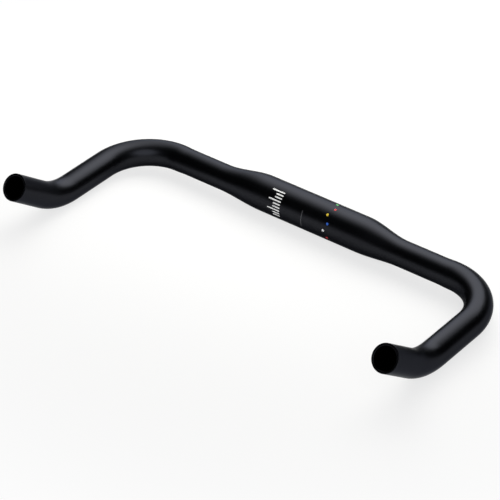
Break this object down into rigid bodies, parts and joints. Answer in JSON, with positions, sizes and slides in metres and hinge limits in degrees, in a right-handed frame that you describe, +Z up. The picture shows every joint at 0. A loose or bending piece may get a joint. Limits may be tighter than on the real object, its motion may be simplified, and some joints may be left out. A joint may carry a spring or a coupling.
{
  "type": "bullhorn handlebar",
  "caption": "Bullhorn handlebar: one bent aluminium tube with a wide stem clamp section, tapered tops and two forward horns whose open ends rise to take levers or plugs.",
  "frame": {"origin": "middle of the stem clamp section, on its axis", "axes": "+X along the clamp towards the rider's left, -Y the way the horns point, +Z up as the bar lies on a table"},
  "size_m": [0.408, 0.1832, 0.0533],
  "materials": {
    "black_anodised_aluminium": "satin black anodised"
  },
  "bodies": {
    "root": {"handlebar": "black_anodised_aluminium"}
  },
  "joints": []
}
